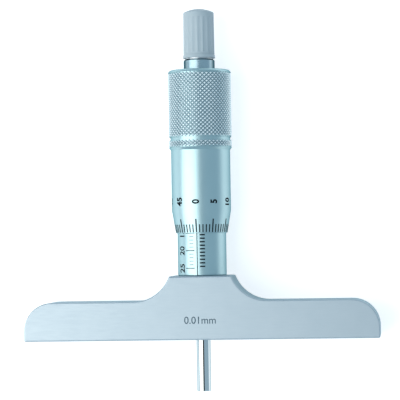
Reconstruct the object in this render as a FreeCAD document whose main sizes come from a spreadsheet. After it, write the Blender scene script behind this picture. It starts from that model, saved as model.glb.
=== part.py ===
import FreeCAD, Part
import os

import Sketcher

# Depth micrometer, 0 to 25 mm, with a fixed rod and a ratchet stop, shown reading 15 mm.
# Millimetres. The origin is the centre of the measuring face, on the rod's axis.
# +Y runs up that axis to the ratchet, +X is to the base's right, +Z is its graduated front.

SIZES = {
    # base: a ground steel bar with a raised neck between two concave flanks
    "base_width": 101.6,
    "base_depth": 16.0,
    "wing_height": 11.05,
    "neck_height": 18.25,
    "flank_reach": 19.1,
    "flank_radius": 10.9,
    "end_radius": 8.0,
    "foot_corner_radius": 0.5,
    "neck_corner_radius": 0.6,
    "edge_break": 0.35,
    "rod_hole_diameter": 4.6,
    "seat_floor_height": 5.0,
    "seat_lead": 0.3,
    # clearances
    "running_gap": 0.02,
    "fit_gap": 0.02,
    "sleeve_gap": 0.1,
    "mesh_play": 0.03,
    # reading and travel
    "measuring_range": 25.0,
    "reading": 15.0,
    "lowest_mark_height": 2.15,
    # measuring rod
    "rod_diameter": 4.0,
    "rod_grip_length": 12.0,
    "rod_tip_chamfer": 0.15,
    # inner sleeve: shank in the base, guide bore for the rod, split nut at its top
    "shank_diameter": 10.0,
    "inner_sleeve_diameter": 12.0,
    "inner_sleeve_rise": 39.5,
    "guide_length": 10.0,
    "relief_diameter": 8.0,
    "nut_length": 8.0,
    "nut_neck_diameter": 11.0,
    "nut_neck_taper": 0.3,
    "slit_width": 0.5,
    "slit_length": 7.0,
    # adjusting nut
    "adjusting_nut_diameter": 13.4,
    "adjusting_nut_height": 5.0,
    "adjusting_nut_lift": 0.8,
    "spanner_slot_width": 1.0,
    "spanner_slot_depth": 0.8,
    # graduated sleeve
    "sleeve_diameter": 14.0,
    "sleeve_overrun": 2.5,
    "sleeve_chamfer": 0.2,
    "key_hole_diameter": 1.6,
    "key_hole_height": 3.0,
    # spindle
    "nose_diameter": 6.0,
    "nose_cone": 0.5,
    "nose_margin": 1.0,
    "thread_diameter": 7.0,
    "thread_margin": 2.0,
    "undercut_diameter": 6.2,
    "seat_cone_large": 7.0,
    "seat_cone_small": 6.2,
    "seat_cone_start": 0.6,
    "spindle_recess": 0.4,
    # thimble
    "thimble_length": 46.9,
    "thimble_edge_diameter": 14.8,
    "thimble_edge_rounding": 0.15,
    "thimble_diameter": 17.04,
    "bevel_length": 6.5,
    "grip_diameter": 18.2,
    "grip_length": 23.05,
    "grip_chamfer": 0.75,
    "grip_ring_length": 2.1,
    "groove_width": 0.8,
    "groove_depth": 0.5,
    "grip_rounding": 1.0,
    "thimble_end_wall": 3.6,
    # ratchet collar, screwed into the spindle, with crown teeth on its top
    "collar_diameter": 8.94,
    "collar_height": 3.0,
    "collar_chamfer": 0.25,
    "stud_diameter": 3.0,
    "stud_length": 6.0,
    "crown_outer_diameter": 6.8,
    "crown_inner_diameter": 4.2,
    "tooth_height": 0.35,
    "tooth_width": 0.8,
    "tooth_count": 12,
    # click ring
    "click_ring_thickness": 1.0,
    "key_count": 3,
    "key_width": 0.9,
    "key_depth": 0.5,
    "key_lift": 0.32,
    # ratchet barrel
    "barrel_diameter": 8.0,
    "barrel_bore_diameter": 7.0,
    "barrel_gap": 0.2,
    "barrel_height": 8.6,
    "barrel_end_wall": 2.0,
    # ratchet screw and washer
    "screw_diameter": 2.84,
    "screw_engagement": 2.4,
    "screw_head_diameter": 5.4,
    "screw_head_height": 1.3,
    "screw_slot_width": 0.6,
    "screw_slot_depth": 0.7,
    "washer_diameter": 6.0,
    "washer_thickness": 0.4,
    # ratchet spring
    "spring_diameter": 5.2,
    "spring_wire": 0.5,
    "spring_pitch": 1.35,
    # ratchet cap
    "cap_gap": 0.5,
    "cap_height": 14.25,
    "cap_lip_diameter": 9.3,
    "cap_lip_height": 0.9,
    "cap_lip_draft": 0.1,
    "cap_diameter": 8.96,
    "cap_draft": 0.08,
    "cap_groove_width": 0.3,
    "cap_groove_depth": 0.08,
    "cap_dome_height": 1.08,
    "cap_dome_edge": 0.3,
    "cap_recess_diameter": 6.8,
    "cap_roof": 1.9,
    "flute_count": 18,
    "flute_radius": 2.5,
    "flute_depth": 0.1,
    "flute_start": 1.6,
    "flute_length": 10.2,
}


class Size:
    """A length: its value, and the sheet expression that the model is bound to."""

    def __init__(self, value, text):
        self.value = value
        self.text = text

    def __add__(self, other):
        return Size(self.value + value_of(other), f"({self.text} + {text_of(other)})")

    def __sub__(self, other):
        return Size(self.value - value_of(other), f"({self.text} - {text_of(other)})")

    def __mul__(self, other):
        return Size(self.value * value_of(other), f"({self.text} * {text_of(other)})")

    def __truediv__(self, other):
        return Size(self.value / value_of(other), f"({self.text} / {text_of(other)})")

    def __neg__(self):
        return Size(-self.value, f"(-{self.text})")


def value_of(number):
    return number.value if isinstance(number, Size) else number


def text_of(number):
    return number.text if isinstance(number, Size) else repr(number)


doc = FreeCAD.newDocument("depth_micrometer")
sheet = doc.addObject("Spreadsheet::Sheet", "sizes")
for row, (word, number) in enumerate(SIZES.items(), 1):
    sheet.set(f"A{row}", word)
    sheet.set(f"B{row}", str(number))
    sheet.setAlias(f"B{row}", word)
doc.recompute()


def size(word):
    return Size(float(SIZES[word]), f"sizes.{word}")


def radius(word):
    """Half of a diameter in the sheet."""
    return size(word) / 2


ZERO = Size(0.0, "0")


# --- drawing and feature helpers ---

def new_body(name):
    body = doc.addObject("PartDesign::Body", name)
    body.Label = name
    return body


def origin_feature(body, role):
    return next(f for f in body.Origin.OriginFeatures if f.Role == role)


def new_sketch(body, name, plane="XY_Plane", lift=ZERO):
    """A sketch on one of the body's own origin planes, or lifted off it along its normal."""
    sketch = body.newObject("Sketcher::SketchObject", f"{body.Name}_{name}")
    sketch.AttachmentSupport = [(origin_feature(body, plane), "")]
    sketch.MapMode = "FlatFace"
    sketch.AttachmentOffset = FreeCAD.Placement(
        FreeCAD.Vector(0, 0, lift.value), FreeCAD.Rotation()
    )
    if lift is not ZERO:
        sketch.setExpression("AttachmentOffset.Base.z", lift.text)
    return sketch


def free(guess):
    """A place that the sketch's other ties settle."""
    return Size(guess, None)


def hold(sketch, kind, geometry, point, distance):
    """Ties a point's distance from the origin, along X or Y, to a size."""
    if distance.text is None:
        return
    if distance.value == 0.0:
        axis = -2 if kind == "DistanceX" else -1
        sketch.addConstraint(Sketcher.Constraint("PointOnObject", geometry, point, axis))
        return
    if distance.value > 0.0:
        ends = (-1, 1, geometry, point)
        length = distance
    else:
        ends = (geometry, point, -1, 1)
        length = -distance
    number = sketch.addConstraint(Sketcher.Constraint(kind, *ends, length.value))
    sketch.setExpression(f"Constraints[{number}]", length.text)


def draw_outline(sketch, corners, arcs=()):
    """A closed outline through the corners. Its edges are numbered from 0, and each one in arcs
    is bent about the centre given there."""
    centres = dict(arcs)
    places = [FreeCAD.Vector(x.value, y.value, 0) for x, y in corners]
    ends = []
    for number, start in enumerate(places):
        end = places[(number + 1) % len(places)]
        if number not in centres:
            sketch.addGeometry(Part.LineSegment(start, end), False)
            ends.append((1, 2))
            continue
        x, y = centres[number]
        centre = FreeCAD.Vector(x.value, y.value, 0)
        middle = (start + end) / 2 - centre
        middle.multiply(start.distanceToPoint(centre) / middle.Length)
        leftward = (start - centre).cross(end - centre).z > 0
        tips = (start, end) if leftward else (end, start)
        sketch.addGeometry(Part.Arc(tips[0], centre + middle, tips[1]), False)
        ends.append((1, 2) if leftward else (2, 1))
    for number, (first, last) in enumerate(ends):
        after = (number + 1) % len(ends)
        joint = Sketcher.Constraint("Coincident", number, last, after, ends[after][0])
        sketch.addConstraint(joint)
    for number, (x, y) in enumerate(corners):
        hold(sketch, "DistanceX", number, ends[number][0], x)
        hold(sketch, "DistanceY", number, ends[number][0], y)
    for number, (x, y) in centres.items():
        hold(sketch, "DistanceX", number, 3, x)
        hold(sketch, "DistanceY", number, 3, y)


def draw_rectangle(sketch, low_x, low_y, high_x, high_y):
    draw_outline(sketch, [(low_x, low_y), (high_x, low_y), (high_x, high_y), (low_x, high_y)])


def draw_circle(sketch, x, y, circle_radius):
    centre = FreeCAD.Vector(x.value, y.value, 0)
    up = FreeCAD.Vector(0, 0, 1)
    number = sketch.addGeometry(Part.Circle(centre, up, circle_radius.value), False)
    hold(sketch, "DistanceX", number, 3, x)
    hold(sketch, "DistanceY", number, 3, y)
    tie = sketch.addConstraint(Sketcher.Constraint("Radius", number, circle_radius.value))
    sketch.setExpression(f"Constraints[{tie}]", circle_radius.text)


def turn(body, name, corners, arcs=()):
    """Turns an outline in the XY plane about the rod's axis, as on a lathe."""
    sketch = new_sketch(body, f"{name}_outline")
    draw_outline(sketch, corners, arcs)
    turned = body.newObject("PartDesign::Revolution", f"{body.Name}_{name}")
    turned.Profile = sketch
    turned.ReferenceAxis = (sketch, ["V_Axis"])
    turned.Angle = 360.0
    doc.recompute()
    return turned


def bore(body, name, corners):
    """Cuts an outline in the XY plane, turned about the rod's axis, out of the body."""
    sketch = new_sketch(body, f"{name}_outline")
    draw_outline(sketch, corners)
    cut = body.newObject("PartDesign::Groove", f"{body.Name}_{name}")
    cut.Profile = sketch
    cut.ReferenceAxis = (sketch, ["V_Axis"])
    cut.Angle = 360.0
    doc.recompute()
    return cut


def pad(body, name, sketch, length, symmetric=False, reverse=False):
    feature = body.newObject("PartDesign::Pad", f"{body.Name}_{name}")
    feature.Profile = sketch
    feature.SideType = "Symmetric" if symmetric else "One side"
    feature.Reversed = reverse
    feature.setExpression("Length", length.text)
    doc.recompute()
    return feature


def pocket(body, name, sketch, length, symmetric=False, reverse=False):
    """Cuts a sketch out of the body, and makes sure that it did cut."""
    before = body.Shape.Volume
    feature = body.newObject("PartDesign::Pocket", f"{body.Name}_{name}")
    feature.Profile = sketch
    feature.SideType = "Symmetric" if symmetric else "One side"
    feature.Reversed = reverse
    feature.setExpression("Length", length.text)
    doc.recompute()
    if not body.Shape.Volume < before - 1e-6:
        raise RuntimeError(f"{feature.Name} cuts nothing")
    return feature


def pattern_round(body, name, features, count):
    """Repeats features round the rod's axis."""
    pattern = body.newObject("PartDesign::PolarPattern", f"{body.Name}_{name}")
    pattern.Originals = features
    pattern.Axis = (origin_feature(body, "Y_Axis"), [""])
    pattern.Angle = 360.0
    pattern.setExpression("Occurrences", count.text)
    body.Tip = pattern
    doc.recompute()
    return pattern


def edge_names(feature, wanted):
    """The names of a feature's edges for which wanted(edge) is true."""
    names = [f"Edge{n}" for n, edge in enumerate(feature.Shape.Edges, 1) if wanted(edge)]
    if not names:
        raise RuntimeError(f"{feature.Name} has no such edge")
    return names


def round_edges(body, name, names, edge_radius):
    base = body.Tip
    feature = body.newObject("PartDesign::Fillet", f"{body.Name}_{name}")
    feature.Base = (base, names)
    feature.setExpression("Radius", edge_radius.text)
    doc.recompute()
    return feature


def chamfer_edges(body, name, names, width):
    base = body.Tip
    feature = body.newObject("PartDesign::Chamfer", f"{body.Name}_{name}")
    feature.Base = (base, names)
    feature.setExpression("Size", width.text)
    doc.recompute()
    return feature


def rims(body, *places):
    """The circular edges about the rod's axis at the given (radius, height) pairs."""
    def wanted(edge):
        if edge.Degenerated or not isinstance(edge.Curve, Part.Circle):
            return False
        ring = edge.Curve
        centred = abs(ring.Center.x) < 1e-4 and abs(ring.Center.z) < 1e-4
        return centred and any(
            abs(ring.Radius - r.value) < 1e-4 and abs(ring.Center.y - y.value) < 1e-4
            for r, y in places
        )
    return edge_names(body.Tip, wanted)


# --- heights and radii that several pieces share ---

neck_top = size("neck_height")
seat_floor = size("seat_floor_height")
guide_top = seat_floor + size("guide_length")
travel_left = size("measuring_range") - size("reading")
inner_sleeve_top = neck_top + size("inner_sleeve_rise")
nut_bottom = inner_sleeve_top - size("nut_length")

rod_radius = radius("rod_diameter")
shank_radius = radius("shank_diameter")
inner_sleeve_radius = radius("inner_sleeve_diameter")
nut_neck_radius = radius("nut_neck_diameter")
nut_neck_tip_radius = nut_neck_radius - size("nut_neck_taper")
thread_radius = radius("thread_diameter")
sleeve_radius = radius("sleeve_diameter")

lowest_mark = neck_top + size("lowest_mark_height")
thimble_edge = lowest_mark + travel_left
thimble_top = thimble_edge + size("thimble_length")
cavity_top = thimble_top - size("thimble_end_wall")

spindle_start = guide_top + travel_left + size("nose_margin")
rod_top = spindle_start + size("rod_grip_length")
thread_start = nut_bottom - size("reading") - size("nose_margin")
thread_end = inner_sleeve_top + travel_left + size("thread_margin")
spindle_top = thimble_top - size("spindle_recess")
cone_start = cavity_top - size("seat_cone_start")
cone_length = spindle_top - cone_start
cone_fall = radius("seat_cone_large") - radius("seat_cone_small")

collar_top = thimble_top + size("collar_height")
crown_top = collar_top + size("tooth_height")
ring_bottom = crown_top + size("mesh_play")
ring_top = ring_bottom + size("click_ring_thickness")
barrel_start = collar_top + size("barrel_gap")
barrel_top = barrel_start + size("barrel_height")
barrel_bore_top = barrel_top - size("barrel_end_wall")
barrel_radius = radius("barrel_diameter")
screw_radius = radius("screw_diameter")
washer_top = barrel_top + size("washer_thickness")
head_bottom = washer_top + size("mesh_play")
head_top = head_bottom + size("screw_head_height")
cap_bottom = collar_top + size("cap_gap")
cap_top = cap_bottom + size("cap_height")


def cone_radius(height):
    """The spindle's seat cone at a height; the thimble's bore is this plus a clearance."""
    return radius("seat_cone_large") - cone_fall * (height - cone_start) / cone_length


def nut_neck_radius_at(height):
    """The inner sleeve's tapered neck at a height."""
    return nut_neck_radius - size("nut_neck_taper") * (height - nut_bottom) / size("nut_length")


# --- base ---

def make_base():
    body = new_body("base")
    half_width = size("base_width") / 2
    half_depth = size("base_depth") / 2
    reach = size("flank_reach")
    wing_top = size("wing_height")
    flank_height = wing_top + size("flank_radius")
    rise = flank_height - neck_top
    corner_x = reach.value - (SIZES["flank_radius"] ** 2 - rise.value ** 2) ** 0.5
    front = new_sketch(body, "front_outline")
    draw_outline(front, [
        (-half_width, ZERO),
        (half_width, ZERO),
        (half_width, wing_top),
        (reach, wing_top),
        (free(corner_x), neck_top),
        (free(-corner_x), neck_top),
        (-reach, wing_top),
        (-half_width, wing_top),
    ], {3: (reach, flank_height), 5: (-reach, flank_height)})
    pad(body, "bar", front, size("base_depth"), symmetric=True)

    def across(edge, x, y):
        """Is this edge parallel to Z at x and y, on either side?"""
        points = [v.Point for v in edge.Vertexes]
        return len(points) == 2 and all(
            abs(abs(p.x) - x) < 1e-4 and abs(p.y - y) < 1e-4 for p in points
        )

    tops = edge_names(body.Tip, lambda e: across(e, half_width.value, wing_top.value))
    round_edges(body, "ends", tops, size("end_radius"))
    feet = edge_names(body.Tip, lambda e: across(e, half_width.value, 0.0))
    round_edges(body, "feet", feet, size("foot_corner_radius"))
    corners = edge_names(body.Tip, lambda e: across(e, corner_x, neck_top.value))
    round_edges(body, "neck_corners", corners, size("neck_corner_radius"))

    def round_front_or_back(edge):
        """Does this edge lie in the front face or in the back face?"""
        places = [v.Point for v in edge.Vertexes] + [edge.CenterOfMass]
        return all(abs(abs(p.z) - half_depth.value) < 1e-4 for p in places)

    broken = edge_names(body.Tip, round_front_or_back)
    round_edges(body, "edge_break", broken, size("edge_break"))
    seat_radius = shank_radius + size("fit_gap")
    lead = size("seat_lead")
    bore(body, "bores", [
        (ZERO, ZERO - lead),
        (radius("rod_hole_diameter"), ZERO - lead),
        (radius("rod_hole_diameter"), seat_floor),
        (seat_radius, seat_floor),
        (seat_radius, neck_top - lead),
        (seat_radius + lead * 2, neck_top + lead),
        (ZERO, neck_top + lead),
    ])
    return body


# --- inner sleeve, its adjusting nut and the graduated sleeve ---

def make_inner_sleeve():
    body = new_body("inner_sleeve")
    guide_radius = rod_radius + size("running_gap")
    nut_radius = thread_radius + size("running_gap")
    relief_radius = radius("relief_diameter")
    turn(body, "tube", [
        (guide_radius, seat_floor),
        (shank_radius, seat_floor),
        (shank_radius, neck_top),
        (inner_sleeve_radius, neck_top),
        (inner_sleeve_radius, nut_bottom),
        (nut_neck_radius, nut_bottom),
        (nut_neck_tip_radius, inner_sleeve_top),
        (nut_radius, inner_sleeve_top),
        (nut_radius, nut_bottom),
        (relief_radius, nut_bottom),
        (relief_radius, guide_top),
        (guide_radius, guide_top),
    ])
    slit = new_sketch(body, "slit_outline")
    half_slit = size("slit_width") / 2
    above = size("slit_width")
    slit_floor = inner_sleeve_top - size("slit_length")
    draw_rectangle(slit, -half_slit, slit_floor, half_slit, inner_sleeve_top + above)
    pocket(body, "slit", slit, size("inner_sleeve_diameter") * 2, symmetric=True)
    crossed = new_sketch(body, "crossed_slit_outline", "YZ_Plane")
    draw_rectangle(crossed, slit_floor, -half_slit, inner_sleeve_top + above, half_slit)
    pocket(body, "crossed_slit", crossed, size("inner_sleeve_diameter") * 2, symmetric=True)
    return body


def make_adjusting_nut():
    body = new_body("adjusting_nut")
    low = nut_bottom + size("adjusting_nut_lift")
    high = low + size("adjusting_nut_height")
    outer = radius("adjusting_nut_diameter")
    turn(body, "ring", [
        (nut_neck_radius_at(low) + size("fit_gap"), low),
        (outer, low),
        (outer, high),
        (nut_neck_radius_at(high) + size("fit_gap"), high),
    ])
    slot = new_sketch(body, "slot_outline")
    draw_rectangle(
        slot, -outer * 2, high - size("spanner_slot_depth"), outer * 2, high + outer
    )
    pocket(body, "spanner_slots", slot, size("spanner_slot_width"), symmetric=True)
    return body


def make_graduated_sleeve():
    body = new_body("graduated_sleeve")
    inner = inner_sleeve_radius + size("fit_gap")
    top = lowest_mark + size("measuring_range") + size("sleeve_overrun")
    turn(body, "tube", [
        (inner, neck_top),
        (sleeve_radius, neck_top),
        (sleeve_radius, top),
        (inner, top),
    ])
    ends = rims(body, (sleeve_radius, neck_top), (sleeve_radius, top))
    chamfer_edges(body, "end_chamfers", ends, size("sleeve_chamfer"))
    hole = new_sketch(body, "key_hole_outline")
    draw_circle(hole, ZERO, neck_top + size("key_hole_height"), radius("key_hole_diameter"))
    pocket(body, "key_hole", hole, size("sleeve_diameter"))
    return body


# --- rod and spindle ---

def make_measuring_rod():
    body = new_body("measuring_rod")
    tip = ZERO - size("reading")
    turn(body, "bar", [(ZERO, tip), (rod_radius, tip), (rod_radius, rod_top), (ZERO, rod_top)])
    ends = rims(body, (rod_radius, tip), (rod_radius, rod_top))
    chamfer_edges(body, "end_chamfers", ends, size("rod_tip_chamfer"))
    return body


def make_spindle():
    body = new_body("spindle")
    rod_bore = rod_radius + size("running_gap")
    rod_stop = rod_top + size("mesh_play")
    stud_bore = radius("stud_diameter") + size("fit_gap")
    stud_floor = thimble_top - size("stud_length") - size("mesh_play") * 2
    turn(body, "screw", [
        (rod_bore, spindle_start),
        (radius("nose_diameter"), spindle_start),
        (radius("nose_diameter"), thread_start - size("nose_cone")),
        (thread_radius, thread_start),
        (thread_radius, thread_end),
        (radius("undercut_diameter"), thread_end + size("nose_cone")),
        (radius("undercut_diameter"), cone_start),
        (cone_radius(cone_start), cone_start),
        (cone_radius(spindle_top), spindle_top),
        (stud_bore, spindle_top),
        (stud_bore, stud_floor),
        (ZERO, stud_floor),
        (ZERO, rod_stop),
        (rod_bore, rod_stop),
    ])
    return body


# --- thimble ---

def make_thimble():
    body = new_body("thimble")
    bore_radius = sleeve_radius + size("sleeve_gap")
    edge_radius = radius("thimble_edge_diameter")
    plain_radius = radius("thimble_diameter")
    grip_radius = radius("grip_diameter")
    groove_radius = grip_radius - size("groove_depth")
    grip_start = thimble_top - size("grip_length")
    ring_start = grip_start + size("grip_chamfer")
    groove_low = ring_start + size("grip_ring_length")
    groove_high = groove_low + size("groove_width")
    turn(body, "shell", [
        (bore_radius, thimble_edge),
        (edge_radius, thimble_edge),
        (plain_radius, thimble_edge + size("bevel_length")),
        (plain_radius, grip_start),
        (grip_radius, ring_start),
        (grip_radius, groove_low),
        (groove_radius, groove_low),
        (groove_radius, groove_high),
        (grip_radius, groove_high),
        (grip_radius, thimble_top),
        (cone_radius(thimble_top) + size("fit_gap"), thimble_top),
        (cone_radius(cavity_top) + size("fit_gap"), cavity_top),
        (bore_radius, cavity_top),
    ])
    round_edges(body, "shoulder", rims(body, (grip_radius, thimble_top)), size("grip_rounding"))
    round_edges(
        body, "edge", rims(body, (edge_radius, thimble_edge)), size("thimble_edge_rounding")
    )
    return body


# --- ratchet stop ---

def tooth_gap_corners():
    """A saw-tooth gap seen along its radius: a steep drive flank and a slipping ramp."""
    half = size("tooth_width") / 2
    above = crown_top + size("tooth_height")
    return [(collar_top, -half), (crown_top, half), (above, half), (above, -half)]


def make_ratchet_collar():
    body = new_body("ratchet_collar")
    collar = radius("collar_diameter")
    outer = radius("crown_outer_diameter")
    inner = radius("crown_inner_diameter")
    tap = screw_radius + size("fit_gap")
    tap_floor = collar_top - size("screw_engagement") - size("mesh_play")
    stud = radius("stud_diameter")
    turn(body, "collar", [
        (ZERO, thimble_top - size("stud_length")),
        (stud, thimble_top - size("stud_length")),
        (stud, thimble_top),
        (collar, thimble_top),
        (collar, collar_top),
        (outer, collar_top),
        (outer, crown_top),
        (inner, crown_top),
        (inner, collar_top),
        (tap, collar_top),
        (tap, tap_floor),
        (ZERO, tap_floor),
    ])
    edges = rims(body, (collar, thimble_top), (collar, collar_top))
    chamfer_edges(body, "edge_chamfers", edges, size("collar_chamfer"))
    gap = new_sketch(body, "tooth_gap_outline", "YZ_Plane")
    draw_outline(gap, tooth_gap_corners())
    cut = pocket(body, "tooth_gap", gap, outer * 2, reverse=True)
    pattern_round(body, "crown_teeth", [cut], size("tooth_count"))
    return body


def make_click_ring():
    body = new_body("click_ring")
    outer = radius("crown_outer_diameter")
    inner = radius("crown_inner_diameter")
    turn(body, "ring", [
        (inner, ring_bottom), (outer, ring_bottom), (outer, ring_top), (inner, ring_top),
    ])
    play = size("mesh_play")
    half = size("tooth_width") / 2
    ramp_lift = play + play * size("tooth_height") / size("tooth_width")
    inside = ring_bottom + size("click_ring_thickness") / 2
    tooth = new_sketch(body, "tooth_outline", "YZ_Plane", inner + play * 2)
    draw_outline(tooth, [
        (collar_top + ramp_lift, play - half),
        (ring_bottom, half),
        (inside, half),
        (inside, play - half),
    ])
    length = outer - inner - play * 6
    step = pad(body, "tooth", tooth, length)
    pattern_round(body, "crown_teeth", [step], size("tooth_count"))
    notch = new_sketch(body, "notch_outline", "XZ_Plane", -(ring_top + play))
    notch_half = size("key_width") / 2 + play * 2
    draw_rectangle(
        notch, outer - size("key_depth"), -notch_half, outer + play, notch_half
    )
    height = size("click_ring_thickness") + size("tooth_height") + play * 2
    cut = pocket(body, "notch", notch, height, reverse=True)
    pattern_round(body, "notches", [cut], size("key_count"))
    return body


def make_ratchet_barrel():
    body = new_body("ratchet_barrel")
    inner = radius("barrel_bore_diameter")
    pivot = screw_radius + size("running_gap")
    turn(body, "cup", [
        (inner, barrel_start),
        (barrel_radius, barrel_start),
        (barrel_radius, barrel_top),
        (pivot, barrel_top),
        (pivot, barrel_bore_top),
        (inner, barrel_bore_top),
    ])
    key_start = crown_top + size("key_lift")
    key_face = radius("crown_outer_diameter") - size("key_depth") + size("mesh_play") * 2
    half = size("key_width") / 2
    sunk = (barrel_radius - inner) / 2
    key = new_sketch(body, "key_outline", "XZ_Plane", -key_start)
    draw_rectangle(key, key_face, -half, inner + sunk, half)
    length = barrel_bore_top - key_start + size("mesh_play")
    rib = pad(body, "key", key, length, reverse=True)
    pattern_round(body, "keys", [rib], size("key_count"))
    return body


def make_ratchet_spring():
    """Coil of round wire between the click ring and the barrel's end wall."""
    wire = radius("spring_wire")
    low = ring_top + wire + size("mesh_play")
    high = barrel_bore_top - wire - size("mesh_play")
    coil = radius("spring_diameter") - wire
    helix = doc.addObject("Part::Helix", "spring_path")
    helix.setExpression("Pitch", text_of(size("spring_pitch")))
    helix.setExpression("Height", text_of(high - low))
    helix.setExpression("Radius", text_of(coil))
    section = doc.addObject("Part::Circle", "spring_section")
    section.setExpression("Radius", wire.text)
    section.Placement = FreeCAD.Placement(
        FreeCAD.Vector(coil.value, 0, 0), FreeCAD.Rotation(FreeCAD.Vector(1, 0, 0), 90)
    )
    section.setExpression("Placement.Base.x", coil.text)
    doc.recompute()
    spring = doc.addObject("Part::Sweep", "ratchet_spring")
    spring.Label = "ratchet_spring"
    spring.Sections = [section]
    spring.Spine = (helix, [])
    spring.Solid = True
    spring.Frenet = True
    spring.Placement = FreeCAD.Placement(
        FreeCAD.Vector(0, low.value, 0), FreeCAD.Rotation(FreeCAD.Vector(1, 0, 0), -90)
    )
    spring.setExpression("Placement.Base.y", low.text)
    doc.recompute()
    return spring


def make_ratchet_washer():
    body = new_body("ratchet_washer")
    hole = screw_radius + size("fit_gap")
    outer = radius("washer_diameter")
    turn(body, "disc", [
        (hole, barrel_top), (outer, barrel_top), (outer, washer_top), (hole, washer_top),
    ])
    return body


def make_ratchet_screw():
    body = new_body("ratchet_screw")
    head = radius("screw_head_diameter")
    tip = collar_top - size("screw_engagement")
    turn(body, "screw", [
        (ZERO, tip),
        (screw_radius, tip),
        (screw_radius, head_bottom),
        (head, head_bottom),
        (head, head_top),
        (ZERO, head_top),
    ])
    slot = new_sketch(body, "slot_outline")
    draw_rectangle(slot, -head * 2, head_top - size("screw_slot_depth"), head * 2, head_top + head)
    pocket(body, "slot", slot, size("screw_slot_width"), symmetric=True)
    return body


def make_ratchet_cap():
    body = new_body("ratchet_cap")
    fit = barrel_radius + size("fit_gap")
    lip = radius("cap_lip_diameter")
    side = radius("cap_diameter")
    top_radius = side - size("cap_draft")
    recess = radius("cap_recess_diameter")
    lip_top = cap_bottom + size("cap_lip_height")
    groove_top = lip_top + size("cap_groove_width")
    groove = side - size("cap_groove_depth")
    dome_base = cap_top - size("cap_dome_height")
    rise = SIZES["cap_dome_height"]
    dome_radius = (top_radius.value ** 2 + rise ** 2) / (2 * rise)
    roof = cap_top - size("cap_roof")
    turn(body, "shell", [
        (fit, cap_bottom),
        (lip, cap_bottom),
        (lip - size("cap_lip_draft"), lip_top),
        (groove, lip_top),
        (groove, groove_top),
        (side, groove_top),
        (top_radius, dome_base),
        (ZERO, cap_top),
        (ZERO, roof),
        (recess, roof),
        (recess, barrel_top),
        (fit, barrel_top),
    ], {6: (ZERO, free(cap_top.value - dome_radius))})
    shoulder = rims(body, (top_radius, dome_base))
    round_edges(body, "dome_edge", shoulder, size("cap_dome_edge"))
    flute = new_sketch(body, "flute_outline", "XZ_Plane", -(cap_bottom + size("flute_start")))
    centre = top_radius + size("flute_radius") - size("flute_depth")
    draw_circle(flute, centre, ZERO, size("flute_radius"))
    cut = pocket(body, "flute", flute, size("flute_length"))
    pattern_round(body, "flutes", [cut], size("flute_count"))
    return body


PIECES = [
    make_base(),
    make_inner_sleeve(),
    make_adjusting_nut(),
    make_graduated_sleeve(),
    make_measuring_rod(),
    make_spindle(),
    make_thimble(),
    make_ratchet_collar(),
    make_click_ring(),
    make_ratchet_spring(),
    make_ratchet_barrel(),
    make_ratchet_washer(),
    make_ratchet_screw(),
    make_ratchet_cap(),
]

doc.recompute()
for item in doc.Objects:
    if "Invalid" in item.State or "Error" in item.State:
        raise RuntimeError(f"{item.Name} failed: {item.State}")

os.makedirs("parts", exist_ok=True)
for piece in PIECES:
    shape = piece.Shape
    if shape.isNull() or not shape.isValid() or len(shape.Solids) != 1:
        raise RuntimeError(f"{piece.Label} is not one valid solid")
    shape.exportStep(f"parts/{piece.Label}.step")
    box = shape.optimalBoundingBox(False)
    print(
        f"{piece.Label:18s} volume {shape.Volume:9.2f}  "
        f"x {box.XMin:7.2f} {box.XMax:7.2f}  y {box.YMin:7.2f} {box.YMax:7.2f}  "
        f"z {box.ZMin:7.2f} {box.ZMax:7.2f}"
    )
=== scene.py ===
import math

import bmesh
import bpy
from mathutils import Matrix, Vector


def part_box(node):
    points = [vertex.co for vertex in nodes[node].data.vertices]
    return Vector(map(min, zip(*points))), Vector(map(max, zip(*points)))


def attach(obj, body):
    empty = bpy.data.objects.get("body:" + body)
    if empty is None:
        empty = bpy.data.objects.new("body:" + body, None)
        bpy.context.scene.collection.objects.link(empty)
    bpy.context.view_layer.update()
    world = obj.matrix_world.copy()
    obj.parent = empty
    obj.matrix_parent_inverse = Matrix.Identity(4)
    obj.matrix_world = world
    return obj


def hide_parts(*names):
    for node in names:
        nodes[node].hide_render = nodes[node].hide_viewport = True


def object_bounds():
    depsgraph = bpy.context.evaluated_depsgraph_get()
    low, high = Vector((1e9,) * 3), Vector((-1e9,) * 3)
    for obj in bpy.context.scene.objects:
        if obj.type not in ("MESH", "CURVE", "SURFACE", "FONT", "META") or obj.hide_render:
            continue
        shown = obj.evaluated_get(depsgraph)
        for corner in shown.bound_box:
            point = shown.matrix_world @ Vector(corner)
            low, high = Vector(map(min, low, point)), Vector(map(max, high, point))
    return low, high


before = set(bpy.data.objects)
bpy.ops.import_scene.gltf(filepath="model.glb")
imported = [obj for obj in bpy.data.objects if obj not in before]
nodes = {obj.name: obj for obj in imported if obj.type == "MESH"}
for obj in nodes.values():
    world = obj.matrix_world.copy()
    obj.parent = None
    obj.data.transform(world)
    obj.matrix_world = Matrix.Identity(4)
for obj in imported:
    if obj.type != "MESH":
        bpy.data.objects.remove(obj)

cad_low, cad_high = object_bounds()


# --- Base ------------------------------------------------------------------
# A bar of hardened tool steel, blanked with a waisted neck, then surface
# ground all over. Its lower face is lapped and is the measuring face. The
# graduation value is etched into the front and filled with dark paint.

base_grain = (260.0, 2600.0, 2600.0)
grazing_tint = (0.25, 0.40, 0.45)
# colour of the painted dark reflection that metal takes on at a slant
painted_reflection_tone = (0.01, 0.02, 0.025)


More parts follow.
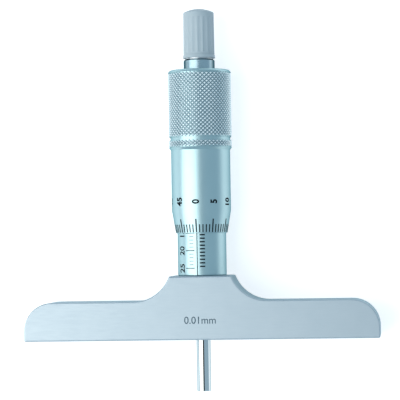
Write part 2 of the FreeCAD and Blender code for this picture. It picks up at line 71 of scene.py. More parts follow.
def machined_metal(name, pale, dark, gloss, grain, relief, mottle=180.0, painted_slant_reflection=None):
    """Bare or plated metal: fine tool marks in its gloss and relief, faint mottling in its colour, and, if
    asked, a painted dark reflection that darkens the colour at a slant.
    """
    metal = bpy.data.materials.new(name)
    metal.use_nodes = True
    tree = metal.node_tree
    shader = tree.nodes["Principled BSDF"]
    shader.inputs["Metallic"].default_value = 1.0
    shader.inputs["Specular Tint"].default_value = (*grazing_tint, 1.0)
    place = tree.nodes.new("ShaderNodeTexCoord")

    lay = tree.nodes.new("ShaderNodeMapping")
    lay.inputs["Scale"].default_value = grain
    tree.links.new(place.outputs["Object"], lay.inputs["Vector"])
    marks = tree.nodes.new("ShaderNodeTexNoise")
    marks.inputs["Scale"].default_value = 1.0
    marks.inputs["Detail"].default_value = 3.0
    marks.inputs["Roughness"].default_value = 0.6
    tree.links.new(lay.outputs["Vector"], marks.inputs["Vector"])

    handling = tree.nodes.new("ShaderNodeTexNoise")
    handling.inputs["Scale"].default_value = mottle
    handling.inputs["Detail"].default_value = 4.0
    tree.links.new(place.outputs["Object"], handling.inputs["Vector"])

    tone = tree.nodes.new("ShaderNodeMix")
    tone.data_type = "RGBA"
    tone.inputs["A"].default_value = (*dark, 1.0)
    tone.inputs["B"].default_value = (*pale, 1.0)
    tree.links.new(handling.outputs["Fac"], tone.inputs["Factor"])
    tree.links.new(tone.outputs["Result"], shader.inputs["Base Color"])
    if painted_slant_reflection:
        # painted reflection: the base colour turns dark at a slant, standing in for the dark side of the
        # room mirrored in polished steel
        begins, ends, share = painted_slant_reflection
        slant = tree.nodes.new("ShaderNodeLayerWeight")
        slant.inputs["Blend"].default_value = 0.5
        fall = tree.nodes.new("ShaderNodeMapRange")
        fall.interpolation_type = "SMOOTHSTEP"
        fall.inputs["From Min"].default_value = begins
        fall.inputs["From Max"].default_value = ends
        fall.inputs["To Max"].default_value = share
        tree.links.new(slant.outputs["Facing"], fall.inputs["Value"])
        edge = tree.nodes.new("ShaderNodeMix")
        edge.data_type = "RGBA"
        edge.inputs["B"].default_value = (*painted_reflection_tone, 1.0)
        tree.links.new(fall.outputs["Result"], edge.inputs["Factor"])
        tree.links.new(tone.outputs["Result"], edge.inputs["A"])
        tree.links.new(edge.outputs["Result"], shader.inputs["Base Color"])

    polish = tree.nodes.new("ShaderNodeMapRange")
    polish.inputs["From Min"].default_value = 0.3
    polish.inputs["From Max"].default_value = 0.7
    polish.inputs["To Min"].default_value = gloss[0]
    polish.inputs["To Max"].default_value = gloss[1]
    tree.links.new(marks.outputs["Fac"], polish.inputs["Value"])
    tree.links.new(polish.outputs["Result"], shader.inputs["Roughness"])

    relief_node = tree.nodes.new("ShaderNodeBump")
    relief_node.inputs["Strength"].default_value = 1.0
    relief_node.inputs["Distance"].default_value = relief
    tree.links.new(marks.outputs["Fac"], relief_node.inputs["Height"])
    tree.links.new(relief_node.outputs["Normal"], shader.inputs["Normal"])
    return metal


def give_finish(node, material):
    """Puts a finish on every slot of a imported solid."""
    slots = nodes[node].data.materials
    if not slots:
        slots.append(material)
    for index in range(len(slots)):
        slots[index] = material


ground_steel = machined_metal(
    "ground_steel", (0.50, 0.57, 0.61), (0.46, 0.535, 0.58), (0.42, 0.52), base_grain, 2.0e-6
)
give_finish("base", ground_steel)


def etched_paint(name, colour, roughness):
    """Matte paint wiped into an etched mark, its tone and surface varied by a fine noise."""
    paint = bpy.data.materials.new(name)
    paint.use_nodes = True
    tree = paint.node_tree
    shader = tree.nodes["Principled BSDF"]
    shader.inputs["Roughness"].default_value = roughness
    shader.inputs["Specular IOR Level"].default_value = 0.05
    place = tree.nodes.new("ShaderNodeTexCoord")
    fill = tree.nodes.new("ShaderNodeTexNoise")
    fill.inputs["Scale"].default_value = 9000.0
    fill.inputs["Detail"].default_value = 2.0
    tree.links.new(place.outputs["Object"], fill.inputs["Vector"])
    tone = tree.nodes.new("ShaderNodeMix")
    tone.data_type = "RGBA"
    tone.inputs["A"].default_value = (*colour, 1.0)
    tone.inputs["B"].default_value = (*(min(1.0, part * 1.9 + 0.004) for part in colour), 1.0)
    tree.links.new(fill.outputs["Fac"], tone.inputs["Factor"])
    tree.links.new(tone.outputs["Result"], shader.inputs["Base Color"])
    surface = tree.nodes.new("ShaderNodeBump")
    surface.inputs["Distance"].default_value = 4.0e-6
    tree.links.new(fill.outputs["Fac"], surface.inputs["Height"])
    tree.links.new(surface.outputs["Normal"], shader.inputs["Normal"])
    return paint


def lettering(words, height, weight, width=1.0):
    """Flat letters in the XY plane, centred on the origin, as a bmesh."""
    curve = bpy.data.curves.new("letters", "FONT")
    curve.body = words
    curve.size = height / 0.729
    curve.offset = weight
    curve.align_x = "CENTER"
    curve.resolution_u = 5
    writing = bpy.data.objects.new("letters", curve)
    bpy.context.collection.objects.link(writing)
    shapes = bpy.context.evaluated_depsgraph_get()
    shapes.update()
    flat = bpy.data.meshes.new_from_object(writing.evaluated_get(shapes))
    bpy.data.objects.remove(writing)
    letters = bmesh.new()
    letters.from_mesh(flat)
    bpy.data.meshes.remove(flat)
    bmesh.ops.remove_doubles(letters, verts=letters.verts, dist=1.0e-7)
    low = min(vert.co.x for vert in letters.verts)
    high = max(vert.co.x for vert in letters.verts)
    for vert in letters.verts:
        vert.co.x = (vert.co.x - (low + high) / 2) * width
        vert.co.y -= height / 2
    return letters


def keep_as_piece(shape, name, material, body):
    """Turns a bmesh into a finished piece that moves with a body."""
    mesh = bpy.data.meshes.new(name)
    bmesh.ops.recalc_face_normals(shape, faces=shape.faces)
    shape.to_mesh(mesh)
    shape.free()
    mesh.materials.append(material)
    piece = bpy.data.objects.new(name, mesh)
    bpy.context.collection.objects.link(piece)
    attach(piece, body)
    return piece


base_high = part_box("base")[1]
value_height = 0.00215
value_centre = (-0.00015, 0.00573)
ink_lift = 0.000012
ink_thickness = 0.00002

value_paint = etched_paint("value_paint", (0.055, 0.09, 0.11), 0.6)
value_letters = lettering("0.01mm", value_height, 0.00001, 0.96)
for vert in value_letters.verts:
    vert.co = Vector((
        vert.co.x + value_centre[0],
        vert.co.y + value_centre[1],
        base_high.z + ink_lift,
    ))
bmesh.ops.solidify(value_letters, geom=value_letters.faces[:], thickness=ink_thickness)
keep_as_piece(value_letters, "graduation_value", value_paint, "base")


# --- Inner sleeve and adjusting nut -----------------------------------------
# The inner sleeve is turned steel, pressed into the base. It guides the rod
# and carries the thread; the slotted nut closes its tapered neck round the
# spindle to take up wear.

turned_steel = machined_metal(
    "turned_steel", (0.62, 0.66, 0.68), (0.50, 0.54, 0.57), (0.22, 0.36), (500.0, 9000.0, 500.0), 2.0e-6
)
give_finish("inner_sleeve", turned_steel)
give_finish("adjusting_nut", turned_steel)


# --- Graduated sleeve ---------------------------------------------------------
# A thin steel tube, plated with satin chrome and slid over the inner sleeve.
# The index line, the millimetre lines, the half-millimetre lines and the
# figures are etched and filled with black.

sleeve_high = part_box("graduated_sleeve")[1]
sleeve_radius = sleeve_high.x
satin_chrome = machined_metal(
    "satin_chrome_sleeve", (0.45, 0.61, 0.64), (0.41, 0.575, 0.60), (0.34, 0.42),
    (5200.0, 5200.0, 5200.0), 1.6e-6, 240.0
)
give_finish("graduated_sleeve", satin_chrome)

scale_paint = etched_paint("scale_black", (0.004, 0.007, 0.010), 0.7)
index_angle = math.radians(-6.2)
index_width = 0.00024
last_mark = 25
last_mark_height = 0.0204
millimetre = 0.001
mark_lift = 0.000015


def wrap(shape, radius, angle, height, step=0.00018):
    """Bends flat work round the sleeve or thimble: its x runs round, its y runs along the axis."""
    low = min(vert.co.x for vert in shape.verts)
    high = max(vert.co.x for vert in shape.verts)
    cuts = max(1, math.ceil((high - low) / step))
    for cut in range(1, cuts):
        line = low + (high - low) * cut / cuts
        bmesh.ops.bisect_plane(
            shape, geom=shape.verts[:] + shape.edges[:] + shape.faces[:],
            plane_co=(line, 0, 0), plane_no=(1, 0, 0), dist=1.0e-8
        )
    for vert in shape.verts:
        at = height + vert.co.y
        distance = radius(at) + mark_lift
        turn = angle + vert.co.x / radius(height)
        vert.co = Vector((distance * math.sin(turn), at, distance * math.cos(turn)))


def quarter_turn(shape):
    """Turns flat figures so that they read from the measuring face upwards."""
    bmesh.ops.rotate(shape, verts=shape.verts, cent=(0, 0, 0), matrix=Matrix.Rotation(math.pi / 2, 3, "Z"))


def sleeve_surface(height):
    return sleeve_radius


def add_bar(shape, left, right, low, high):
    """One flat bar of a scale, added to a bmesh."""
    corners = ((left, low), (right, low), (right, high), (left, high))
    shape.faces.new([shape.verts.new((x, y, 0)) for x, y in corners])


index_start = base_high.y + 0.0001
index_end = sleeve_high.y - 0.0006
index_line = bmesh.new()
add_bar(index_line, -index_width / 2, index_width / 2, index_start, index_end)
wrap(index_line, sleeve_surface, index_angle, 0.0)
keep_as_piece(index_line, "index_line", scale_paint, "sleeve")


def ruled_lines(name, radius, spacing, count, thickness, near, far, first_height):
    """Etched lines round a tube, repeated along it by a node tree."""
    tree = bpy.data.node_groups.new(name, "GeometryNodeTree")
    tree.interface.new_socket("Geometry", in_out="OUTPUT", socket_type="NodeSocketGeometry")
    sockets = {}
    for label, kind, value in (
        ("Radius", "NodeSocketFloat", radius),
        ("Spacing", "NodeSocketFloat", spacing),
        ("Count", "NodeSocketInt", count),
        ("Thickness", "NodeSocketFloat", thickness),
        ("From Angle", "NodeSocketFloat", near),
        ("To Angle", "NodeSocketFloat", far),
        ("First Height", "NodeSocketFloat", first_height),
    ):
        socket = tree.interface.new_socket(label, in_out="INPUT", socket_type=kind)
        sockets[label] = (socket.identifier, value)
    paint = tree.interface.new_socket("Paint", in_out="INPUT", socket_type="NodeSocketMaterial")
    sockets["Paint"] = (paint.identifier, scale_paint)
    given = tree.nodes.new("NodeGroupInput")
    made = tree.nodes.new("NodeGroupOutput")

    # one line: a narrow grid bent round the tube
    strip = tree.nodes.new("GeometryNodeMeshGrid")
    strip.inputs["Vertices X"].default_value = 9
    strip.inputs["Vertices Y"].default_value = 2
    strip.inputs["Size X"].default_value = 1.0
    tree.links.new(given.outputs["Thickness"], strip.inputs["Size Y"])
    where = tree.nodes.new("GeometryNodeInputPosition")
    apart = tree.nodes.new("ShaderNodeSeparateXYZ")
    tree.links.new(where.outputs["Position"], apart.inputs["Vector"])
    angle = tree.nodes.new("ShaderNodeMapRange")
    angle.inputs["From Min"].default_value = -0.5
    angle.inputs["From Max"].default_value = 0.5
    tree.links.new(apart.outputs["X"], angle.inputs["Value"])
    tree.links.new(given.outputs["From Angle"], angle.inputs["To Min"])
    tree.links.new(given.outputs["To Angle"], angle.inputs["To Max"])
    parts = []
    for operation in ("SINE", "COSINE"):
        wave = tree.nodes.new("ShaderNodeMath")
        wave.operation = operation
        tree.links.new(angle.outputs["Result"], wave.inputs[0])
        reach = tree.nodes.new("ShaderNodeMath")
        reach.operation = "MULTIPLY"
        tree.links.new(wave.outputs["Value"], reach.inputs[0])
        tree.links.new(given.outputs["Radius"], reach.inputs[1])
        parts.append(reach)
    bent = tree.nodes.new("ShaderNodeCombineXYZ")
    tree.links.new(parts[0].outputs["Value"], bent.inputs["X"])
    tree.links.new(apart.outputs["Y"], bent.inputs["Y"])
    tree.links.new(parts[1].outputs["Value"], bent.inputs["Z"])
    bend = tree.nodes.new("GeometryNodeSetPosition")
    tree.links.new(strip.outputs["Mesh"], bend.inputs["Geometry"])
    tree.links.new(bent.outputs["Vector"], bend.inputs["Position"])

    # the places of the lines along the axis
    start = tree.nodes.new("ShaderNodeCombineXYZ")
    tree.links.new(given.outputs["First Height"], start.inputs["Y"])
    stride = tree.nodes.new("ShaderNodeCombineXYZ")
    tree.links.new(given.outputs["Spacing"], stride.inputs["Y"])
    row = tree.nodes.new("GeometryNodeMeshLine")
    tree.links.new(given.outputs["Count"], row.inputs["Count"])
    tree.links.new(start.outputs["Vector"], row.inputs["Start Location"])
    tree.links.new(stride.outputs["Vector"], row.inputs["Offset"])
    copies = tree.nodes.new("GeometryNodeInstanceOnPoints")
    tree.links.new(row.outputs["Mesh"], copies.inputs["Points"])
    tree.links.new(bend.outputs["Geometry"], copies.inputs["Instance"])
    whole = tree.nodes.new("GeometryNodeRealizeInstances")
    tree.links.new(copies.outputs["Instances"], whole.inputs["Geometry"])
    painted = tree.nodes.new("GeometryNodeSetMaterial")
    tree.links.new(whole.outputs["Geometry"], painted.inputs["Geometry"])
    tree.links.new(given.outputs["Paint"], painted.inputs["Material"])
    tree.links.new(painted.outputs["Geometry"], made.inputs["Geometry"])
    return grown_piece(name, tree, sockets)


def grown_piece(name, tree, sockets):
    """Runs a node tree once and keeps its result as a plain mesh."""
    seed = bpy.data.objects.new(name, bpy.data.meshes.new(name + "_seed"))
    bpy.context.collection.objects.link(seed)
    grower = seed.modifiers.new("grow", "NODES")
    grower.node_group = tree
    for identifier, value in sockets.values():
        grower[identifier] = value
    shapes = bpy.context.evaluated_depsgraph_get()
    shapes.update()
    mesh = bpy.data.meshes.new_from_object(seed.evaluated_get(shapes))
    seed.modifiers.remove(grower)
    seed.data = mesh
    return seed


def faced_outwards(piece):
    """Turns a piece's faces away from the instrument's axis."""
    shape = bmesh.new()
    shape.from_mesh(piece.data)
    for face in shape.faces:
        middle = face.calc_center_median()
        if face.normal.dot(Vector((middle.x, 0, middle.z))) < 0:
            face.normal_flip()
    shape.to_mesh(piece.data)
    shape.free()


line_sets = (
    ("millimetre_lines", millimetre, 26, 0.00014, -25.5, -15.2, 0.0),
    ("fifth_lines", 5 * millimetre, 6, 0.00022, -35.5, -12.6, 0.0),
    ("half_lines", millimetre, 25, 0.00040, 0.2, 12.4, 0.5 * millimetre),
)
for name, spacing, count, thickness, near, far, first in line_sets:
    lines = ruled_lines(
        name, sleeve_radius + mark_lift, spacing, count, thickness,
        math.radians(near), math.radians(far), last_mark_height + first
    )
    faced_outwards(lines)
    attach(lines, "sleeve")

figure_height = 0.0021
figure_angle = math.radians(-49.5)
figure_weight = 0.00007
figure_narrowing = 0.92
for reading in range(0, 30, 5):
    figures = lettering(str(reading), figure_height, figure_weight, figure_narrowing)
    quarter_turn(figures)
    wrap(figures, sleeve_surface, figure_angle, last_mark_height + (last_mark - reading) * millimetre)
    keep_as_piece(figures, f"sleeve_figure_{reading}", scale_paint, "sleeve")


# --- Measuring rod --------------------------------------------------------------
# Hardened steel rod, ground and lapped to a mirror so that it slides in the
# guide bore without play; its lower end is the flat measuring tip.

lapped_steel = machined_metal(
    "lapped_steel", (0.62, 0.68, 0.69), (0.56, 0.63, 0.65), (0.03, 0.07), (600.0, 7000.0, 600.0), 4.0e-7
)
give_finish("measuring_rod", lapped_steel)


# --- Spindle ----------------------------------------------------------------------
# The spindle turns in the inner sleeve's thread and pushes the rod. Only its
# nose and cone show when the thimble is taken off.

give_finish("spindle", turned_steel)


# --- Thimble ------------------------------------------------------------------------
# A steel drum turned in one piece and plated with satin chrome. Its bevelled
# edge carries fifty divisions; the grip above is cut with a diamond knurl in
# two bands, parted by a plain groove. It is locked on the spindle's cone.

thimble_low, thimble_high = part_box("thimble")
edge_height = thimble_low.y
top_height = thimble_high.y
grip_radius = thimble_high.x
bore_radius = 0.0071
edge_radius = 0.0074
plain_radius = 0.00852
bevel_top = edge_height + 0.0065
grip_start = top_height - 0.02305
ring_start = grip_start + 0.00075
ring_end = ring_start + 0.0021
groove_end = ring_end + 0.0008
groove_radius = grip_radius - 0.0005
knurl_depth = 0.00022
core_radius = grip_radius - knurl_depth
rounding = 0.0010
cavity_top = top_height - 0.0036

knurl_margin = 0.00002
knurl_runout = 0.0008
knurl_bands = (
    ("knurl_ring", ring_start + 3 * knurl_margin, ring_end - knurl_margin),
    ("knurl_grip", groove_end + knurl_margin, top_height - knurl_runout),
)
knurl_root = 0.00003
knurl_flat = 0.16

shoulder = [
    (grip_radius - rounding + rounding * math.cos(math.radians(step)),
     top_height - rounding + rounding * math.sin(math.radians(step)))
    for step in range(12, 91, 13)
]
edge_break = 0.00015
rim = [
    (edge_radius - edge_break + edge_break * math.cos(math.radians(step)),
     edge_height + edge_break + edge_break * math.sin(math.radians(step)))
    for step in range(-90, 11, 20)
]
thimble_outline = [
    (bore_radius, edge_height),
    *rim,
    (plain_radius, bevel_top),
    (plain_radius, grip_start),
    (grip_radius, ring_start),
    (core_radius, knurl_bands[0][1]),
    (core_radius, ring_end),
    (groove_radius, ring_end),
    (groove_radius, groove_end),
    (core_radius, groove_end),
    (core_radius, knurl_bands[1][2]),
    *shoulder,
    (0.00325, top_height),
    (0.00356, cavity_top),
    (bore_radius, cavity_top),
]


def turned_piece(outline, sides, sharp_above):
    """Sweeps a closed outline of (radius, height) round the instrument's axis."""
    shape = bmesh.new()
    rings = []
    for radius, height in outline:
        ring = []
        for side in range(sides):
            turn = math.tau * side / sides
            ring.append(shape.verts.new((radius * math.sin(turn), height, radius * math.cos(turn))))
        rings.append(ring)
    for low, high in zip(rings, rings[1:] + rings[:1]):
        for side in range(sides):
            after = (side + 1) % sides
            shape.faces.new((low[side], low[after], high[after], high[side]))
    bmesh.ops.recalc_face_normals(shape, faces=shape.faces)
    for face in shape.faces:
        face.smooth = True
    for edge in shape.edges:
        if edge.calc_face_angle(0.0) > math.radians(sharp_above):
            edge.smooth = False
    return shape


thimble_chrome = machined_metal(
    "satin_chrome_thimble", (0.45, 0.61, 0.64), (0.41, 0.575, 0.60), (0.34, 0.42),
    (5200.0, 5200.0, 5200.0), 1.6e-6, 240.0
)
give_finish("thimble", thimble_chrome)
drum_shape = turned_piece(thimble_outline, 192, 25.0)
drum = keep_as_piece(drum_shape, "thimble_drum", thimble_chrome, "thimble")
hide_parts("thimble")


knurled_chrome = thimble_chrome.copy()
knurled_chrome.name = "knurled_chrome"
knurl_tree = knurled_chrome.node_tree
knurl_shader = knurl_tree.nodes["Principled BSDF"]
knurl_place = knurl_tree.nodes.new("ShaderNodeTexCoord")
across = knurl_tree.nodes.new("ShaderNodeVectorMath")
across.operation = "MULTIPLY"
across.inputs[1].default_value = (1.0, 0.0, 1.0)
knurl_tree.links.new(knurl_place.outputs["Object"], across.inputs[0])
from_axis = knurl_tree.nodes.new("ShaderNodeVectorMath")
from_axis.operation = "LENGTH"
knurl_tree.links.new(across.outputs["Vector"], from_axis.inputs[0])
height_share = knurl_tree.nodes.new("ShaderNodeMapRange")
height_share.inputs["From Min"].default_value = core_radius
height_share.inputs["From Max"].default_value = grip_radius
knurl_tree.links.new(from_axis.outputs["Value"], height_share.inputs["Value"])
# painted shade and highlight: the base colour goes nearly black in the knurl's roots and nearly white on
# its points, standing in for shade in the grooves and glints on the tips
painted_knurl_shade_and_glint = knurl_tree.nodes.new("ShaderNodeValToRGB")
painted_knurl_shade_and_glint.color_ramp.elements[0].position = 0.0
painted_knurl_shade_and_glint.color_ramp.elements[0].color = (0.03, 0.05, 0.06, 1.0)
painted_knurl_shade_and_glint.color_ramp.elements[1].position = 0.85
painted_knurl_shade_and_glint.color_ramp.elements[1].color = (0.90, 0.95, 0.97, 1.0)
flank = painted_knurl_shade_and_glint.color_ramp.elements.new(0.35)
flank.color = (0.50, 0.64, 0.68, 1.0)
knurl_tree.links.new(height_share.outputs["Result"], painted_knurl_shade_and_glint.inputs["Fac"])
knurl_tree.links.new(painted_knurl_shade_and_glint.outputs["Color"], knurl_shader.inputs["Base Color"])


def diamond_knurl(name, low, high, around, pitch, material):
    """Rows of diamond points round the drum, each row offset by half a diamond."""
    rows = max(1, round((high - low) / (pitch / 2)) - 1)
    half_wide = math.pi * grip_radius / around
    half_tall = (high - low) / (rows + 1)
    tree = bpy.data.node_groups.new(name, "GeometryNodeTree")
    tree.interface.new_socket("Geometry", in_out="OUTPUT", socket_type="NodeSocketGeometry")
    sockets = {}
    for label, kind, value in (
        ("Core Radius", "NodeSocketFloat", core_radius - knurl_root),
        ("Depth", "NodeSocketFloat", knurl_depth + knurl_root),
        ("Half Width", "NodeSocketFloat", half_wide),
        ("Half Height", "NodeSocketFloat", half_tall),
        ("Around", "NodeSocketInt", around),
        ("Rows", "NodeSocketInt", rows),
        ("First Height", "NodeSocketFloat", low + half_tall),
        ("Metal", "NodeSocketMaterial", material),
    ):
        socket = tree.interface.new_socket(label, in_out="INPUT", socket_type=kind)
        sockets[label] = (socket.identifier, value)
    given = tree.nodes.new("NodeGroupInput")
    made = tree.nodes.new("NodeGroupOutput")

    def arithmetic(operation, first, second=None):
        step = tree.nodes.new("ShaderNodeMath")
        step.operation = operation
        for slot, value in enumerate((first, second)):
            if value is None:
                continue
            if isinstance(value, (int, float)):
                step.inputs[slot].default_value = value
            else:
                tree.links.new(value, step.inputs[slot])
        return step.outputs["Value"]

    # one diamond: a four-sided cone with a small flat left on its point
    point = tree.nodes.new("GeometryNodeMeshCone")
    point.inputs["Vertices"].default_value = 4
    point.inputs["Radius Top"].default_value = knurl_flat
    point.inputs["Radius Bottom"].default_value = 1.0
    point.inputs["Depth"].default_value = 1.0

    # its place: the row and the column follow from the point's number
    total = arithmetic("MULTIPLY", given.outputs["Around"], given.outputs["Rows"])
    places = tree.nodes.new("GeometryNodePoints")
    tree.links.new(total, places.inputs["Count"])
    number = tree.nodes.new("GeometryNodeInputIndex").outputs["Index"]
    row = arithmetic("FLOOR", arithmetic("DIVIDE", number, given.outputs["Around"]))
    column = arithmetic("SUBTRACT", number, arithmetic("MULTIPLY", row, given.outputs["Around"]))
    offset = arithmetic("MULTIPLY", arithmetic("MODULO", row, 2.0), 0.5)
    turn = arithmetic(
        "MULTIPLY",
        arithmetic("DIVIDE", arithmetic("ADD", column, offset), given.outputs["Around"]),
        math.tau,
    )
    height = arithmetic(
        "ADD", arithmetic("MULTIPLY", row, given.outputs["Half Height"]), given.outputs["First Height"]
    )
    spot = tree.nodes.new("ShaderNodeCombineXYZ")
    tree.links.new(
        arithmetic("MULTIPLY", arithmetic("SINE", turn), given.outputs["Core Radius"]), spot.inputs["X"]
    )
    tree.links.new(height, spot.inputs["Y"])
    tree.links.new(
        arithmetic("MULTIPLY", arithmetic("COSINE", turn), given.outputs["Core Radius"]), spot.inputs["Z"]
    )
    put = tree.nodes.new("GeometryNodeSetPosition")
    tree.links.new(places.outputs["Points"], put.inputs["Geometry"])
    tree.links.new(spot.outputs["Vector"], put.inputs["Position"])
    lean = tree.nodes.new("ShaderNodeCombineXYZ")
    tree.links.new(turn, lean.inputs["Y"])
    size = tree.nodes.new("ShaderNodeCombineXYZ")
    tree.links.new(given.outputs["Half Width"], size.inputs["X"])
    tree.links.new(given.outputs["Half Height"], size.inputs["Y"])
    tree.links.new(given.outputs["Depth"], size.inputs["Z"])
    copies = tree.nodes.new("GeometryNodeInstanceOnPoints")
    tree.links.new(put.outputs["Geometry"], copies.inputs["Points"])
    tree.links.new(point.outputs["Mesh"], copies.inputs["Instance"])
    tree.links.new(lean.outputs["Vector"], copies.inputs["Rotation"])
    tree.links.new(size.outputs["Vector"], copies.inputs["Scale"])
    whole = tree.nodes.new("GeometryNodeRealizeInstances")
    tree.links.new(copies.outputs["Instances"], whole.inputs["Geometry"])
    plated = tree.nodes.new("GeometryNodeSetMaterial")
    tree.links.new(whole.outputs["Geometry"], plated.inputs["Geometry"])
    tree.links.new(given.outputs["Metal"], plated.inputs["Material"])
    tree.links.new(plated.outputs["Geometry"], made.inputs["Geometry"])
    return grown_piece(name, tree, sockets)


knurl_around = 48
knurl_pitch = 0.00113
for name, low, high in knurl_bands:
    diamonds = diamond_knurl(name, low, high, knurl_around, knurl_pitch, knurled_chrome)
    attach(diamonds, "thimble")


def bevel_surface(height):
    """The thimble's radius at a height between its edge and its grip."""
    along = min(1.0, max(0.0, (height - edge_height) / (bevel_top - edge_height)))
    return edge_radius + (plain_radius - edge_radius) * along


divisions = 50
division_low = edge_height + 0.00022
for name, chosen, length, width in (
    ("short_divisions", [n for n in range(divisions) if n % 5], 0.00225, 0.00031),
    ("long_divisions", range(0, divisions, 5), 0.0038, 0.00036),
):
    marks = bmesh.new()
    for number in chosen:
        mark = bmesh.new()
        add_bar(mark, -width / 2, width / 2, 0.0, length)
        wrap(mark, bevel_surface, index_angle + math.tau * number / divisions, division_low)
        kept = bpy.data.meshes.new("mark")
        mark.to_mesh(kept)
        mark.free()
        marks.from_mesh(kept)
        bpy.data.meshes.remove(kept)
    keep_as_piece(marks, name, scale_paint, "thimble")

thimble_figure_height = 0.0020
thimble_figure_centre = 0.03935
thimble_figure_weight = 0.00011
for number in range(0, divisions, 5):
    figures = lettering(str(number), thimble_figure_height, thimble_figure_weight, figure_narrowing)
    quarter_turn(figures)
    wrap(figures, bevel_surface, index_angle + math.tau * number / divisions, thimble_figure_centre)
    keep_as_piece(figures, f"thimble_figure_{number}", scale_paint, "thimble")


# --- Ratchet collar -----------------------------------------------------------------
# Screwed into the spindle to hold the thimble on its cone. Polished steel, with
# the crown of saw teeth on its upper face.

# the collar's colour carries a painted dark reflection, darkening at a slant
polished_steel = machined_metal(
    "polished_steel", (0.40, 0.52, 0.57), (0.33, 0.46, 0.51), (0.26, 0.34), (500.0, 9000.0, 500.0), 1.0e-6,
    painted_slant_reflection=(0.25, 0.6, 0.7)
)
give_finish("ratchet_collar", polished_steel)


# --- Click ring, barrel, spring, washer and screw ------------------------------------
# The click ring is pressed on the crown by the coiled spring inside the barrel;
# the screw and washer hold the barrel and its cap on the collar.

for node in ("click_ring", "ratchet_barrel", "ratchet_washer", "ratchet_screw"):
    give_finish(node, turned_steel)
spring_steel = machined_metal(
    "spring_steel", (0.50, 0.50, 0.50), (0.36, 0.37, 0.39), (0.25, 0.4), (2500.0, 2500.0, 2500.0), 2.0e-6
)
give_finish("ratchet_spring", spring_steel)


# --- Ratchet cap ---------------------------------------------------------------------
# The knob that the fingers turn: an injection-moulded cap in pale grey-blue
# nylon with shallow flutes, a lip at its mouth and a low domed top, pushed on
# the barrel.

moulded_nylon = bpy.data.materials.new("moulded_nylon")
moulded_nylon.use_nodes = True
cap_tree = moulded_nylon.node_tree
cap_shader = cap_tree.nodes["Principled BSDF"]
cap_shader.inputs["Subsurface Weight"].default_value = 0.3
cap_shader.inputs["Subsurface Radius"].default_value = (1.0, 1.0, 1.0)
cap_shader.inputs["Subsurface Scale"].default_value = 0.0008
cap_place = cap_tree.nodes.new("ShaderNodeTexCoord")
spark_eroded = cap_tree.nodes.new("ShaderNodeTexNoise")
spark_eroded.inputs["Scale"].default_value = 5200.0
spark_eroded.inputs["Detail"].default_value = 4.0
cap_tree.links.new(cap_place.outputs["Object"], spark_eroded.inputs["Vector"])
flow = cap_tree.nodes.new("ShaderNodeTexNoise")
flow.inputs["Scale"].default_value = 260.0
flow.inputs["Detail"].default_value = 3.0
cap_tree.links.new(cap_place.outputs["Object"], flow.inputs["Vector"])
cap_tone = cap_tree.nodes.new("ShaderNodeMix")
cap_tone.data_type = "RGBA"
cap_tone.inputs["A"].default_value = (0.43, 0.505, 0.54, 1.0)
cap_tone.inputs["B"].default_value = (0.48, 0.55, 0.58, 1.0)
cap_tree.links.new(flow.outputs["Fac"], cap_tone.inputs["Factor"])
cap_tree.links.new(cap_tone.outputs["Result"], cap_shader.inputs["Base Color"])
cap_gloss = cap_tree.nodes.new("ShaderNodeMapRange")
cap_gloss.inputs["To Min"].default_value = 0.45
cap_gloss.inputs["To Max"].default_value = 0.6
cap_tree.links.new(spark_eroded.outputs["Fac"], cap_gloss.inputs["Value"])
cap_tree.links.new(cap_gloss.outputs["Result"], cap_shader.inputs["Roughness"])
cap_grain = cap_tree.nodes.new("ShaderNodeBump")
cap_grain.inputs["Distance"].default_value = 6.0e-6
cap_tree.links.new(spark_eroded.outputs["Fac"], cap_grain.inputs["Height"])
cap_tree.links.new(cap_grain.outputs["Normal"], cap_shader.inputs["Normal"])
give_finish("ratchet_cap", moulded_nylon)


# --- Studio --------------------------------------------------------------------------
# A pale table, one large soft lamp to the left, a black flag far above and a
# cool, even room. The camera looks down on the instrument on its back.

table_mesh = bpy.data.meshes.new("table")
table_half = 3.0
table_mesh.from_pydata(
    [(-table_half, -table_half, cad_low.z), (table_half, -table_half, cad_low.z),
     (table_half, table_half, cad_low.z), (-table_half, table_half, cad_low.z)],
    [], [(0, 1, 2, 3)]
)
table = bpy.data.objects.new("table", table_mesh)
bpy.context.collection.objects.link(table)
table_paint = bpy.data.materials.new("white_table")
table_paint.use_nodes = True
table_tree = table_paint.node_tree
table_tree.nodes.remove(table_tree.nodes["Principled BSDF"])
matt = table_tree.nodes.new("ShaderNodeBsdfDiffuse")
matt.inputs["Color"].default_value = (0.82, 0.82, 0.82, 1.0)
glow = table_tree.nodes.new("ShaderNodeEmission")
rays = table_tree.nodes.new("ShaderNodeLightPath")
seen = table_tree.nodes.new("ShaderNodeMath")
seen.operation = "MAXIMUM"
table_tree.links.new(rays.outputs["Is Camera Ray"], seen.inputs[0])
table_tree.links.new(rays.outputs["Is Glossy Ray"], seen.inputs[1])
seen_through = table_tree.nodes.new("ShaderNodeMath")
seen_through.operation = "MAXIMUM"
table_tree.links.new(seen.outputs["Value"], seen_through.inputs[0])
table_tree.links.new(rays.outputs["Is Transmission Ray"], seen_through.inputs[1])
share = table_tree.nodes.new("ShaderNodeMath")
share.operation = "MULTIPLY"
share.inputs[1].default_value = 0.6
table_tree.links.new(seen_through.outputs["Value"], share.inputs[0])
table_tree.links.new(share.outputs["Value"], glow.inputs["Strength"])
both = table_tree.nodes.new("ShaderNodeAddShader")
table_tree.links.new(matt.outputs["BSDF"], both.inputs[0])
table_tree.links.new(glow.outputs["Emission"], both.inputs[1])
table_tree.links.new(both.outputs["Shader"], table_tree.nodes["Material Output"].inputs["Surface"])
table_mesh.materials.append(table_paint)

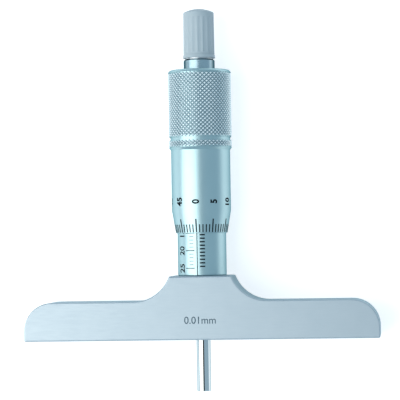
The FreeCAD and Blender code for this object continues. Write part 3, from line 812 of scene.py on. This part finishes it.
room = bpy.data.worlds.new("room")
bpy.context.scene.world = room
room.use_nodes = True
room.node_tree.nodes["Background"].inputs["Color"].default_value = (0.43, 0.57, 0.68, 1.0)
room.node_tree.nodes["Background"].inputs["Strength"].default_value = 1.0

lamp_distance = 0.62
lamp_angle = math.radians(-40.5)
lamp_data = bpy.data.lights.new("soft_lamp", "AREA")
lamp_data.shape = "RECTANGLE"
lamp_data.size = 0.78
lamp_data.size_y = 0.62
lamp_data.energy = 3.4
lamp_data.color = (1.0, 0.97, 0.92)
lamp = bpy.data.objects.new("soft_lamp", lamp_data)
bpy.context.collection.objects.link(lamp)
lamp.location = (lamp_distance * math.sin(lamp_angle), -0.10, lamp_distance * math.cos(lamp_angle))
lamp.rotation_euler = (0.0, lamp_angle, 0.0)

flag_distance = 1.3
flag_angle = math.radians(-3.0)
flag_half_width = 0.39
flag_low, flag_high = -0.18, 0.0
flag_mesh = bpy.data.meshes.new("flag")
flag_turn = Matrix.Rotation(flag_angle, 4, "Y") @ Matrix.Translation((0.0, 0.0, flag_distance))
flag_mesh.from_pydata(
    [flag_turn @ Vector((x, y, 0.0)) for x, y in
     ((-flag_half_width, flag_low), (flag_half_width, flag_low),
      (flag_half_width, flag_high), (-flag_half_width, flag_high))],
    [], [(0, 1, 2, 3)]
)
flag = bpy.data.objects.new("flag", flag_mesh)
bpy.context.collection.objects.link(flag)
flag_cloth = bpy.data.materials.new("black_flag")
flag_cloth.use_nodes = True
flag_cloth.node_tree.nodes["Principled BSDF"].inputs["Base Color"].default_value = (0.01, 0.01, 0.01, 1.0)
flag_mesh.materials.append(flag_cloth)

camera_data = bpy.data.cameras.new("camera")
camera_data.sensor_width = 36.0
camera_data.lens = 182.8
camera_data.clip_start = 0.01
camera = bpy.data.objects.new("camera", camera_data)
bpy.context.collection.objects.link(camera)
camera.location = (0.057077, 0.026774, 0.582034)
camera.rotation_euler = (math.radians(1.1996), math.radians(5.6576), math.radians(-0.9095))
bpy.context.scene.camera = camera
bpy.context.scene.view_settings.view_transform = "Standard"
